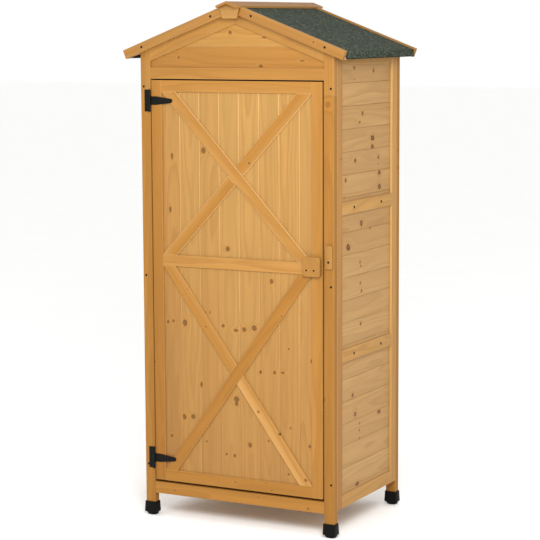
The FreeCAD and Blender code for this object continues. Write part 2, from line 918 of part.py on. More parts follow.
# Turn bar on its screw, standing upright beside the door
bar = block(
    pivot_x - bar_wide / 2.0,
    pivot_x + bar_wide / 2.0,
    bar_front,
    bar_front + bar_thick,
    pivot_height - bar_short_arm,
    pivot_height + bar_long_arm,
)
bar_corners = [edge for edge in bar.Edges if abs(edge.BoundBox.YLength - bar_thick) < 0.01]
bar = bar.makeFillet(bar_corner, bar_corners)
bar_bore = Part.makeCylinder(
    screw_radius + running_gap, bar_thick, vector(pivot_x, bar_front, pivot_height), forward
)
save("latch_bar", [bar.cut(bar_bore)])


# Strap hinges: a leaf with two knuckles on the post, a strap with the middle knuckle on the door
def barrel(low, high, bore):
    place = vector(pin_x, pin_y, low)
    tube = Part.makeCylinder(barrel_radius, high - low, place)
    return tube.cut(Part.makeCylinder(bore, high - low, place))


def hinge_leaf(centre):
    low = centre - hinge_tall / 2.0
    high = centre + hinge_tall / 2.0
    notch = strap_high / 2.0 + fit_gap
    leaf = block(pin_x - hinge_leaf_out, pin_x, leaf_face, front_face, low, high)
    space_left = pin_x - barrel_radius - 2 * fit_gap
    space = block(space_left, pin_x, leaf_face, front_face, centre - notch, centre + notch)
    leaf = leaf.cut(space)
    knuckles = barrel(low, centre - notch, pin_radius).fuse(barrel(centre + notch, high, pin_radius))
    bore = Part.makeCylinder(pin_radius, hinge_tall, vector(pin_x, pin_y, low))
    return leaf.fuse(knuckles).cut(bore).removeSplitter()


def hinge_strap(centre):
    half = strap_high / 2.0
    tip_x = pin_x + strap_reach - strap_tip_radius
    straight_x = pin_x + strap_straight
    outline = [
        (pin_x, centre - half),
        (straight_x, centre - half),
        (tip_x, centre - strap_tip_radius),
        (tip_x, centre + strap_tip_radius),
        (straight_x, centre + half),
        (pin_x, centre + half),
    ]
    strap = upright(outline, leaf_face, front_face)
    tip = Part.makeCylinder(strap_tip_radius, hinge_steel, vector(tip_x, leaf_face, centre), forward)
    tube = Part.makeCylinder(barrel_radius, strap_high, vector(pin_x, pin_y, centre - half))
    bore = Part.makeCylinder(
        pin_radius + running_gap, strap_high, vector(pin_x, pin_y, centre - half)
    )
    return strap.fuse([tip, tube]).cut(bore).removeSplitter()


def hinge_pin(centre):
    up = vector(0, 0, 1)
    low = vector(pin_x, pin_y, centre - hinge_tall / 2.0)
    high = vector(pin_x, pin_y, centre + hinge_tall / 2.0)
    pin = Part.makeCylinder(pin_radius, hinge_tall, low)
    low_head = swept(flats(low, up, pin_head_radius, head_flats), up * -pin_head_high)
    high_head = swept(flats(high, up, pin_head_radius, head_flats), up * pin_head_high)
    return pin.fuse([low_head, high_head]).Solids[0]


for hinge_name, hinge_height in (("top", hinge_top_height), ("bottom", hinge_bottom_height)):
    save("hinge_plate_" + hinge_name, [drilled(hinge_leaf(hinge_height), leaf_screws)])
    save("hinge_strap_" + hinge_name, [drilled(hinge_strap(hinge_height), door_screws)])
save("hinge_pins", [hinge_pin(hinge_top_height), hinge_pin(hinge_bottom_height)])
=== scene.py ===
import math
import random

import bmesh
import bpy
from mathutils import Matrix, Vector


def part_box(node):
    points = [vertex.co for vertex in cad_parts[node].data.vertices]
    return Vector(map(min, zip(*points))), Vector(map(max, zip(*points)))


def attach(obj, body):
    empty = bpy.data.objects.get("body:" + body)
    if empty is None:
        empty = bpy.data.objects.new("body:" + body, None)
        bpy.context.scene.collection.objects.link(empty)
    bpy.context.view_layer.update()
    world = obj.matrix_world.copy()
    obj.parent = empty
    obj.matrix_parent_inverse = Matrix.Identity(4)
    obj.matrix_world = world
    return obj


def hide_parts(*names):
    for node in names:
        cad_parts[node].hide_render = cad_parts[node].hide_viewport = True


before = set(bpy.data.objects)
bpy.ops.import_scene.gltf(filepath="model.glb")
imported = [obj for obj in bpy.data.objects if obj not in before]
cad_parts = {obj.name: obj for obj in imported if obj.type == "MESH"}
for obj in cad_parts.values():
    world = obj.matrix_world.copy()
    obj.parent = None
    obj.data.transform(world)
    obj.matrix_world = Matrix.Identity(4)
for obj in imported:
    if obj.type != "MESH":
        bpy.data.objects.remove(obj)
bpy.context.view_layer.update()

scene = bpy.context.scene
scene.view_settings.view_transform = "Standard"
print("cabinet: frame loaded,", len(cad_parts), "nodes")

# small helpers that every piece below uses; lengths are in metres where nothing else is said

samePlace = 0.0001  # places closer than this count as one
mergeGap = 0.00001  # the loose corners of a CAD node's triangles are merged within this
flatAngle = 0.4  # degrees; triangles that meet flatter than this become one face
straight = 0.9  # a face whose normal has this share along an axis faces that way


def paint(hexCode):  # sRGB hex to the linear colour a shader wants
    channels = [int(hexCode[start : start + 2], 16) / 255 for start in (1, 3, 5)]
    return [c / 12.92 if c <= 0.04045 else ((c + 0.055) / 1.055) ** 2.4 for c in channels] + [1.0]


def addNode(tree, kind, settings=None, links=None):
    node = tree.nodes.new("ShaderNode" + kind)
    for name, value in (settings or {}).items():
        if name == "stops":  # colour ramp stops as (place, hex or grey)
            ramp = node.color_ramp
            while len(ramp.elements) < len(value):
                ramp.elements.new(0.5)
            for element, (place, colour) in zip(ramp.elements, value):
                element.position = place
                element.color = paint(colour) if isinstance(colour, str) else (colour, colour, colour, 1)
        elif isinstance(name, str) and hasattr(node, name):
            setattr(node, name, value)
        else:
            node.inputs[name].default_value = value
    for name, source in (links or {}).items():
        tree.links.new(source, node.inputs[name])
    return node


def newMaterial(name):
    material = bpy.data.materials.new(name)
    material.use_nodes = True
    material.node_tree.nodes.clear()
    return material, material.node_tree


def addObject(name, data):
    made = bpy.data.objects.new(name, data)
    scene.collection.objects.link(made)
    return made


def onlyThis(piece):
    bpy.ops.object.select_all(action="DESELECT")
    piece.select_set(True)
    bpy.context.view_layer.objects.active = piece


def openMesh(piece, mode="EDGE"):
    onlyThis(piece)
    bpy.ops.object.mode_set(mode="EDIT")
    bpy.ops.mesh.select_mode(type=mode)
    bpy.ops.mesh.select_all(action="DESELECT")


def closeMesh():
    bpy.ops.object.mode_set(mode="OBJECT")


def pick(piece, kind, wanted):  # selects the "edges" or "faces" that are wanted, and counts them
    net = bmesh.from_edit_mesh(piece.data)
    bpy.ops.mesh.select_all(action="DESELECT")
    chosen = [element for element in getattr(net, kind) if wanted(element)]
    for element in chosen:
        element.select_set(True)
    bmesh.update_edit_mesh(piece.data)
    return len(chosen)


def smoothRound(piece, sharpest=35):  # degrees; edges sharper than this stay crisp
    onlyThis(piece)
    bpy.ops.object.shade_smooth_by_angle(angle=math.radians(sharpest))


def finishPiece(piece, material, body, slot, *nodes):
    piece.data.materials.clear()
    piece.data.materials.append(material)
    if nodes:
        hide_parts(*nodes)
    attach(piece, body)


def copyNode(node, name):  # the node's own mesh, merged, with its flat faces made whole again
    piece = addObject(name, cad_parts[node].data.copy())
    openMesh(piece)
    bpy.ops.mesh.customdata_custom_splitnormals_clear()
    bpy.ops.mesh.select_all(action="SELECT")
    bpy.ops.mesh.remove_doubles(threshold=mergeGap)
    bpy.ops.mesh.dissolve_limited(angle_limit=math.radians(flatAngle))
    bpy.ops.mesh.select_all(action="DESELECT")
    closeMesh()
    for polygon in piece.data.polygons:
        polygon.use_smooth = False
    return piece


def easeEdges(piece, shortest, width, sharpest=30):  # rounds the convex edges that a hand would feel
    openMesh(piece)
    found = pick(
        piece,
        "edges",
        lambda edge: len(edge.link_faces) == 2
        and edge.is_convex
        and edge.calc_length() > shortest
        and math.degrees(edge.calc_face_angle()) > sharpest,
    )
    if found:
        bpy.ops.mesh.bevel(offset=width, segments=2, profile=0.5, clamp_overlap=False)
    closeMesh()


# camera, where the photograph was taken from

camera = {
    "azimuth": 27.6967,  # degrees
    "pitch": 7.44655,
    "roll": -0.27901,
    "lens": 125.916,  # mm, on a sensor of the next width
    "sensor": 36,
    "place": (2.94255, -5.6238, 1.6588),
    "reach": 200,
}
cameraData = bpy.data.cameras.new("camera")
cameraData.sensor_width = camera["sensor"]
cameraData.lens = camera["lens"]
cameraData.clip_end = camera["reach"]
cameraObject = addObject("camera", cameraData)
cameraObject.matrix_world = (
    Matrix.Translation(camera["place"])
    @ Matrix.Rotation(math.radians(camera["azimuth"]), 4, "Z")
    @ Matrix.Rotation(math.radians(90 - camera["pitch"]), 4, "X")
    @ Matrix.Rotation(math.radians(camera["roll"]), 4, "Z")
)
scene.camera = cameraObject
print("cabinet: camera placed")

# timber: how it looks

knotLetters = "ABCDEFG"  # a board carries up to this many knots
cutEnd, broadFace, planedEdge = 0.0, 0.5, 1.0  # what the attribute "cut" says about a face

firLook = {
    # stain on the faces, the late wood, the planed edges and the cut ends; the edges' paler colour is partly
    # thinner stain and partly a painted highlight
    "base": "#C8975C",
    "dark": "#B58149",
    "light": "#D5A96F",
    "late": "#AA773F",
    "edge": "#DDB27A",
    "end": "#8A5A28",
    "edgeShare": 0.5,
    "endShare": 0.45,
    # waves per metre, along the board and twice across it, and detail; real fibres are under a
    # millimetre, these are drawn 3 to 4 mm wide so that they show in the picture
    "noises": {
        "wobble": ((60, 60, 60), 2.0),
        "wander": ((2.6, 15, 15), 1.5),
        "fibre": ((5, 270, 270), 3.0),
        "band": ((1.1, 26, 26), 2.0),
    },
    "noiseSpan": (0.3, 0.7),  # the values that a noise mostly keeps to
    "bands": 0.065,  # how much the bands and the fibres darken and lighten
    "fibres": 0.055,
    # growth rings
    "ring": 0.0105,  # real rings are 2 to 4 mm apart, drawn wider so that they show
    "ringStops": [(0.0, 0.0), (0.45, 0.12), (0.82, 1.0), (0.93, 0.9), (1.0, 0.0)],
    "wander": 0.030,  # how far they stray along the board
    "contrast": 0.4,
    # how clear they are, by the band that they lie in
    "lateByBand": {"From Min": 0.35, "From Max": 0.65, "To Min": 0.25, "To Max": 1.0},
    # knots, all counted in the knot's own radius
    "bulge": 1.6,  # how far the rings go round it, and how fast that fades
    "bulgeFall": -0.22,
    "rimWobble": 0.9,
    "halo": "#9B6A30",
    "haloSpan": {"From Min": 0.9, "From Max": 2.6, "To Min": 0.55, "To Max": 0.0},
    "eye": "#5F4116",
    "eyeRim": "#45300F",
    "rimPlace": (0.3, 0.6),  # where the eye ends and where its dark ring is full
    "knotSoft": 0.32,
    "knotDark": 0.8,
    # the film
    "gloss": 0.48,
    "glossSpan": (0.06, 0.1),  # how much smoother and rougher the fibres make it
    "sheen": 0.22,
    "ior": 1.48,
    "lateRelief": 0.35,
    "relief": {"Strength": 0.25, "Distance": 0.0003},
}
doorFir = dict(firLook, base="#956628", dark="#87581E", light="#AE854E", late="#7E5119", edgeShare=0.15)
sideFir = dict(firLook, knotSoft=0.15, knotDark=0.88, eye="#7E522A", eyeRim="#351E08")
firs = {
    "post": dict(
        firLook, base="#91652E", dark="#835726", light="#9D723D", late="#784D20",
        edgeShare=0.1, knotDark=0.42, sheen=0.06,
    ),
    "doorFrame": doorFir,
    # the upper braces' edges are painted paler still, a painted highlight where the light catches them
    "upperBracePaintedHighlight": dict(doorFir, edge="#E6C48F", edgeShare=0.42),
    # the low rail's edges are painted dark, a painted shadow of the door above it
    "lowRailPaintedShade": dict(
        firLook, base="#966729", dark="#88591F", light="#AF864F", late="#7F521A",
        edge="#6E4519", edgeShare=0.7,
    ),
    "doorBoard": dict(
        firLook, base="#966D38", dark="#865B2C", light="#9F7B43", late="#7F5524", edgeShare=0.55
    ),
    "sideBoard": dict(
        sideFir, base="#A47F4E", dark="#957040", light="#B08E5C", late="#896638",
        halo="#9C6E38", edgeShare=0.0, contrast=0.5, fibres=0.075, sheen=0.14,
    ),
    "sideFrame": dict(
        sideFir, base="#A0773F", dark="#916533", light="#AE854A", late="#865A2A", edgeShare=0.28, sheen=0.12
    ),
    "gable": dict(firLook, base="#94672C", dark="#875923", light="#A0763A", late="#7D511D", edgeShare=0.3),
    "trim": dict(firLook, base="#8F642D", dark="#805423", light="#98703A", late="#774D1C", edgeShare=0.1),
    "inner": dict(firLook, base="#B68F58", dark="#A57E49", light="#C19D69"),
}


def knotField(tree, grain, wobble, look):
    # How near the closest knot is, counted in its own radius, and how far the knots push the rings.
    nearest = push = None
    for letter in knotLetters:
        knot = addNode(tree, "Attribute", {"attribute_name": "knot" + letter})
        spot = knot.outputs["Color"]
        stretch = addNode(tree, "CombineXYZ", {1: 1.0}, {0: knot.outputs["Alpha"]})
        size = addNode(tree, "SeparateXYZ", None, {0: spot}).outputs[2]
        away = addNode(tree, "VectorMath", {"operation": "SUBTRACT"}, {0: grain, 1: spot})
        flat = addNode(
            tree, "VectorMath", {"operation": "MULTIPLY"}, {0: away.outputs[0], 1: stretch.outputs[0]}
        )
        far = addNode(tree, "VectorMath", {"operation": "LENGTH"}, {0: flat.outputs[0]}).outputs["Value"]
        ratio = addNode(tree, "Math", {"operation": "DIVIDE"}, {0: far, 1: size}).outputs[0]
        square = addNode(tree, "Math", {"operation": "MULTIPLY"}, {0: ratio, 1: ratio})
        fall = addNode(tree, "Math", {"operation": "MULTIPLY", 1: look["bulgeFall"]}, {0: square.outputs[0]})
        hill = addNode(tree, "Math", {"operation": "EXPONENT"}, {0: fall.outputs[0]})
        lift = addNode(tree, "Math", {"operation": "MULTIPLY"}, {0: hill.outputs[0], 1: size}).outputs[0]
        if nearest is None:
            nearest, push = ratio, lift
        else:
            nearest = addNode(tree, "Math", {"operation": "MINIMUM"}, {0: nearest, 1: ratio}).outputs[0]
            push = addNode(tree, "Math", {"operation": "ADD"}, {0: push, 1: lift}).outputs[0]
    reach = look["rimWobble"]
    uneven = addNode(tree, "Math", {"operation": "MULTIPLY_ADD", 1: reach, 2: -reach / 2}, {0: wobble})
    near = addNode(tree, "Math", {"operation": "ADD"}, {0: nearest, 1: uneven.outputs[0]})
    return near.outputs[0], push


def lateWoodRings(tree, grain, wander, push, look):
    # Rings round the pith, straying slowly along the board and bulging at the knots.
    stray = addNode(tree, "Math", {"operation": "MULTIPLY", 1: look["wander"]}, {0: wander})
    across = addNode(tree, "VectorMath", {"operation": "MULTIPLY", 1: (0, 1, 1)}, {0: grain})
    radius = addNode(tree, "VectorMath", {"operation": "LENGTH"}, {0: across.outputs[0]})
    spread = addNode(tree, "Math", {"operation": "ADD"}, {0: radius.outputs["Value"], 1: stray.outputs[0]})
    bulged = addNode(
        tree, "Math", {"operation": "MULTIPLY_ADD", 1: look["bulge"]}, {0: push, 2: spread.outputs[0]}
    )
    rings = addNode(tree, "Math", {"operation": "MULTIPLY", 1: 1 / look["ring"]}, {0: bulged.outputs[0]})
    place = addNode(tree, "Math", {"operation": "FRACT"}, {0: rings.outputs[0]})
    return addNode(tree, "ValToRGB", {"stops": look["ringStops"]}, {0: place.outputs[0]}).outputs[0]


def stainedFir(name, look):
    # Fir, planed and dipped in a thin honey stain: close straight grain under a silky film,
    # pale early wood, a slightly redder late wood, small brown knots that the grain goes round.
    material, tree = newMaterial(name)
    grain = addNode(tree, "Attribute", {"attribute_name": "grain"}).outputs["Vector"]
    tone = addNode(tree, "Attribute", {"attribute_name": "tone"}).outputs["Fac"]
    cut = addNode(tree, "Attribute", {"attribute_name": "cut"}).outputs["Fac"]
    noises = {}
    for kind, (waves, detail) in look["noises"].items():
        place = addNode(tree, "VectorMath", {"operation": "MULTIPLY", 1: waves}, {0: grain})
        noise = addNode(tree, "TexNoise", {"Scale": 1.0, "Detail": detail}, {0: place.outputs[0]})
        noises[kind] = noise.outputs["Fac"]
    nearKnot, push = knotField(tree, grain, noises["wobble"], look)
    lateWood = lateWoodRings(tree, grain, noises["wander"], push, look)

    # the late wood on the board's own tone, clearer in some bands than in others
    bandShare = addNode(tree, "MapRange", look["lateByBand"], {0: noises["band"]})
    lateShare = addNode(tree, "Math", {"operation": "MULTIPLY"}, {0: lateWood, 1: bandShare.outputs[0]})
    lateShown = addNode(
        tree, "Math", {"operation": "MULTIPLY", 1: look["contrast"]}, {0: lateShare.outputs[0]}
    )
    toneStops = [(0.0, look["dark"]), (0.5, look["base"]), (1.0, look["light"])]
    ground = addNode(tree, "ValToRGB", {"stops": toneStops}, {0: tone})
    colour = addNode(
        tree, "MixRGB", {2: paint(look["late"])}, {0: lateShown.outputs[0], 1: ground.outputs[0]}
    ).outputs[0]

    # narrow planed edges take their own colour: paler, partly for thinner stain and partly as a painted
    # highlight where they catch the light, and dark on the low rail as a painted shadow; cut ends drink more
    # of the stain
    for kind, most in (("edge", planedEdge), ("end", cutEnd)):
        span = {"From Min": broadFace, "From Max": most, "To Max": look[kind + "Share"]}
        share = addNode(tree, "MapRange", span, {0: cut})
        colour = addNode(tree, "MixRGB", {2: paint(look[kind])}, {0: share.outputs[0], 1: colour}).outputs[0]

    # broad bands and fine fibres, a little darker and lighter
    low, high = look["noiseSpan"]
    shades = []
    for kind, strength in (("band", look["bands"]), ("fibre", look["fibres"])):
        span = {"From Min": low, "From Max": high, "To Min": 1 - strength, "To Max": 1 + strength}
        shades.append(addNode(tree, "MapRange", span, {0: noises[kind]}).outputs[0])
    shade = addNode(tree, "Math", {"operation": "MULTIPLY"}, {0: shades[0], 1: shades[1]})
    shaded = addNode(tree, "VectorMath", {"operation": "SCALE"}, {0: colour, "Scale": shade.outputs[0]})

    # the knots themselves: a brown eye, a dark ring and a warm halo
    haloShare = addNode(tree, "MapRange", look["haloSpan"], {0: nearKnot})
    haloed = addNode(
        tree, "MixRGB", {2: paint(look["halo"])}, {0: haloShare.outputs[0], 1: shaded.outputs[0]}
    )
    eyeEnd, rimFull = look["rimPlace"]
    eyeStops = [(0.0, look["eye"]), (eyeEnd, look["eye"]), (rimFull, look["eyeRim"]), (1.0, look["eyeRim"])]
    eye = addNode(tree, "ValToRGB", {"stops": eyeStops}, {0: nearKnot})
    soft = look["knotSoft"]
    eyeSpan = {"From Min": 1 - soft, "From Max": 1 + soft, "To Min": look["knotDark"], "To Max": 0.0}
    eyeShare = addNode(tree, "MapRange", eyeSpan, {0: nearKnot})
    knotted = addNode(
        tree, "MixRGB", None, {0: eyeShare.outputs[0], 1: haloed.outputs[0], 2: eye.outputs[0]}
    )

    # a silky film that follows the fibres and the late wood
    height = addNode(
        tree, "Math", {"operation": "MULTIPLY_ADD", 1: look["lateRelief"]},
        {0: lateShare.outputs[0], 2: noises["fibre"]},
    )
    bump = addNode(tree, "Bump", look["relief"], {"Height": height.outputs[0]})
    smoother, rougher = look["glossSpan"]
    silkSpan = {"To Min": look["gloss"] - smoother, "To Max": look["gloss"] + rougher}
    silk = addNode(tree, "MapRange", silkSpan, {0: noises["fibre"]})
    shader = addNode(
        tree, "BsdfPrincipled", {"IOR": look["ior"], "Specular IOR Level": look["sheen"]},
        {"Base Color": knotted.outputs[0], "Roughness": silk.outputs[0], "Normal": bump.outputs[0]},
    )
    addNode(tree, "OutputMaterial", None, {0: shader.outputs[0]})
    return material


firMaterials = {key: stainedFir(key + "StainedFir", look) for key, look in firs.items()}

# timber: knots, tones and grain of every board

# knots seen on the object, in millimetres: on the front (x, z, radius) and on the right side (y, z, radius);
# a fourth number is how many times longer along the grain than across it
frontKnots = [
    (-123, 1247, 8.5), (-242, 1224, 4, 2.6), (-251, 1047, 3.8, 2.6), (-34, 926, 7.3), (51, 1210, 3.5),
    (91, 1522, 5.4), (-21, 1630, 5), (-213, 1549, 4), (104, 1614, 2.6, 3), (240, 1540, 2.8, 3),
    (296, 1599, 3.5), (333, 1403, 9.5), (127, 829, 5.7, 1.3),
    (-264, 669, 5.2), (-243, 673, 4.5), (-199, 670, 9), (-54, 670, 6.1), (-6, 658, 7.8, 0.6),
    (25, 663, 7.3), (62, 670, 8.7), (-185, 784, 2.1), (-121, 711, 2.8), (-103, 712, 2.8), (-116, 664, 2.6),
    (-138, 466, 4.5, 1.8), (85, 526, 5.4), (137, 529, 5.7), (167, 531, 6.4, 0.55), (189, 611, 2.6),
    (-254, 281, 5), (-205, 350, 7.8), (-171, 355, 7.8), (-120, 275, 2.8), (44, 279, 6.6, 1.3),
    (-44, 239, 4), (-14, 236, 4.7), (114, 299, 3.1), (157, 327, 3.8), (195, 350, 3.1), (265, 296, 5.2),
    (187, 195, 4.2), (-6, 428, 9.9, 0.9), (-5, 414, 5.9, 1.5), (166, 718, 2.4), (271, 577, 2.8, 2),
    (-314, 530, 3.5), (322, 458, 2.8, 3), (-243, 95, 3.1), (-9, 149, 2.6), (77, 107, 2.6), (261, 90, 3.5),
    (106, 158, 2.4), (128, 136, 2.1, 2), (79, 395, 3.1), (252, 183, 4.2),
]
sideKnots = [
    (-89, 1515, 5.4), (60, 1503, 5.2), (-89, 1478, 2.8), (-26, 1367, 5.9), (-48, 1338, 3.5, 2),
    (53, 1282, 8.8, 1.4), (53, 1254, 7.4, 1.4), (-82, 1217, 6.4), (99, 1215, 6.4), (107, 1163, 8.2, 1.25),
    (108, 1116, 9, 1.2), (-154, 1157, 6.1), (-33, 1008, 9.2), (-134, 938, 10.8), (-43, 880, 4.2),
    (-38, 867, 4), (-41, 810, 4.7), (-32, 784, 5.2), (-38, 675, 5.4), (-100, 446, 6.6), (-80, 379, 7.8),
    (109, 352, 5.9, 1.8), (-46, 342, 3.8), (-46, 318, 3.5), (-46, 291, 3.8), (-64, 141, 6.4, 1.8),
    (-164, 1102, 3.1), (100, 1193, 2.6), (35, 984, 4), (-204, 1229, 2.6),
]
knotPlaces = {
    "frontFrom": -0.2,  # boards that face the front and lie before this y have the front's knots
    "sideFrom": 0.3,  # boards that face the side and lie beyond this x have the side's knots
    "seenSqueeze": (0.8, 1.1),  # along the grain, where no fourth number says it; below 1 is longer
    # the other boards have knots by chance
    "perSquareMetre": 55,
    "radius": (2.7, 6.1),  # mm
    "squeeze": (0.7, 1.3),
    "none": (9, 9, 1, 1),  # stands for no knot, because it lies far off every board
}
boardLay = {
    # how a board was cut from its log, by chance
    "tilt": 0.03,  # slope of the grain into the board, and across it
    "lean": 0.006,
    "along": 40,  # how far from the log's middle, beside its pith, and how deep the pith is
    "aside": 0.022,
    "pithDepth": (0.022, 0.07),
    # how dark (0) or light (1) it is, where the tones below don't say
    "tone": 0.5,
    "toneSpread": 0.12,
    "toneFade": 0.16,  # how much lighter one long edge may be than the middle
    # kinds of faces, by the share of their normal that lies along the grain or across the broad side
    "endFrom": 0.6,
    "sideUpTo": 0.3,
    "broadFrom": 0.93,
    "narrowEdge": 0.013,  # sides narrower than this count as planed edges
}
# tones of the boards from left to right or from low to high; the rest vary by chance
boardTones = {
    "door_boards": [0.43, 0.67, 0.57, 0.72, 0.68, 0.63, 0.62, 0.61],
    "front_post_left": [0.5],
    "front_post_right": [0.34],
    "door_stile_left": [0.26],
    "door_stile_right": [0.52],
    "door_braces_lower": [0.74, 0.29, 0.55],  # lower piece, the one that runs through, upper piece
    "door_braces_upper": [0.52, 0.6, 0.52],
    "gable_head_rail": [0.49],
    "front_bottom_rail": [0.47],
    "gable_rafters": [0.72, 0.72],
    "gable_boards": [0.38, 0.84],
    "door_rails": [0.42, 0.65, 0.55],
    "side_stiles_right": [0.14, 0.64],  # front, back
    "side_rails_right": [0.58, 0.64, 0.75, 0.7],
    "finial_front": [0.98],
}
boardFades = {"door_boards": 0.04, "door_stile_right": -0.06, "door_stile_left": 0.1}
uprightPaintedShade = {
    # painted shade: long upright pieces are painted darker towards the ground, where less light falls
    "nodes": ("door_boards", "door_stile_left", "side_stiles_right"),
    "middle": 0.79,  # the height where nothing changes
    "slope": 0.26,  # tone per metre
}
doorEdgeHighlight = {"foot": 0.1, "high": 1.4}  # painted highlight: the pale edges of the door's boards fade out towards the foot


def looseParts(net):  # the boards or screws of a piece, as lists of vertices
    seen = set()
    for start in net.verts:
        if start in seen:
            continue
        seen.add(start)
        waiting, part = [start], []
        while waiting:
            vertex = waiting.pop()
            part.append(vertex)
            for edge in vertex.link_edges:
                other = edge.other_vert(vertex)
                if other not in seen:
                    seen.add(other)
                    waiting.append(other)
        yield part


def largestAxis(direction):
    return max(range(3), key=lambda axis: abs(direction[axis]))


def upAxis(direction):  # turned round where it has to be, so that its largest part is positive
    return -direction if direction[largestAxis(direction)] < 0 else direction


def broadSide(faces, along):  # the direction across the grain that most of a board's surface faces
    areas = {}
    for face in faces:
        if abs(face.normal.dot(along)) < boardLay["sideUpTo"]:
            key = tuple(round(abs(share), 1) for share in face.normal)
            area, normal = areas.get(key, (0.0, face.normal.copy()))
            areas[key] = (area + face.calc_area(), normal)
    normal = max(areas.values(), key=lambda found: found[0])[1]
    return upAxis((normal - along * normal.dot(along)).normalized())


def sawBoard(chance, edges, faces, middle):  # a board's own axes, and where in its log it was cut
    longest = max(edges, key=lambda edge: edge.calc_length())
    along = upAxis((longest.verts[1].co - longest.verts[0].co).normalized())
    deep = broadSide(faces, along)
    tilt = chance.uniform(-boardLay["tilt"], boardLay["tilt"])
    lean = chance.uniform(-boardLay["lean"], boardLay["lean"])
    shift = Vector(
        (
            chance.uniform(-boardLay["along"], boardLay["along"]),
            chance.uniform(-boardLay["aside"], boardLay["aside"]),
            chance.choice((-1, 1)) * chance.uniform(*boardLay["pithDepth"]),
        )
    )
    wide = deep.cross(along)
    return dict(middle=middle, along=along, wide=wide, deep=deep, tilt=tilt, lean=lean, shift=shift)


def onBoard(place, board):  # a place along the board, across it and into it
    off = place - board["middle"]
    length = off.dot(board["along"])
    width = off.dot(board["wide"]) + board["lean"] * length
    return Vector((length, width, off.dot(board["deep"]) + board["tilt"] * length))


def toneOf(chance, node, rank):  # a board's tone, and how much lighter its one long edge is
    wanted = boardTones.get(node, [])
    if rank < len(wanted):
        tone = wanted[rank]
    else:
        tone = boardLay["tone"] + chance.uniform(-1, 1) * boardLay["toneSpread"]
    fade = chance.uniform(-1, 1) * boardLay["toneFade"]
    return tone, boardFades.get(node, fade)


def knotsOf(chance, board, low, high):
    # A board's largest knots as (along, across, radius in mm, squeeze), those seen or some by chance.
    middle = board["middle"]
    facing = largestAxis(board["deep"])
    seen = []
    if facing == 1 and middle.y < knotPlaces["frontFrom"]:
        seen = [(Vector((x / 1000, middle.y, z / 1000)), *size) for x, z, *size in frontKnots]
    elif facing == 0 and middle.x > knotPlaces["sideFrom"]:
        seen = [(Vector((middle.x, y / 1000, z / 1000)), *size) for y, z, *size in sideKnots]
    spots = []
    for place, radius, *long in seen:
        at = onBoard(place, board)
        if low[0] < at.x < high[0] and low[1] < at.y < high[1]:
            squeeze = 1 / long[0] if long else chance.uniform(*knotPlaces["seenSqueeze"])
            spots.append((at.x, at.y, radius, squeeze))
    if not seen:
        wanted = (high[0] - low[0]) * (high[1] - low[1]) * knotPlaces["perSquareMetre"]
        for _ in range(int(wanted + chance.random())):
            along = chance.uniform(low[0], high[0])
            across = chance.uniform(low[1], high[1])
            radius = chance.uniform(*knotPlaces["radius"])
            spots.append((along, across, radius, chance.uniform(*knotPlaces["squeeze"])))
    return sorted(spots, key=lambda spot: -spot[2])[: len(knotLetters)]


def cutOf(face, board):  # whether a face is a cut end, a planed edge or a broad face
    if abs(face.normal.dot(board["along"])) > boardLay["endFrom"]:
        return cutEnd
    width = face.calc_area() / max(edge.calc_length() for edge in face.edges)
    if abs(face.normal.dot(board["deep"])) < boardLay["broadFrom"] and width < boardLay["narrowEdge"]:
        return planedEdge
    return broadFace


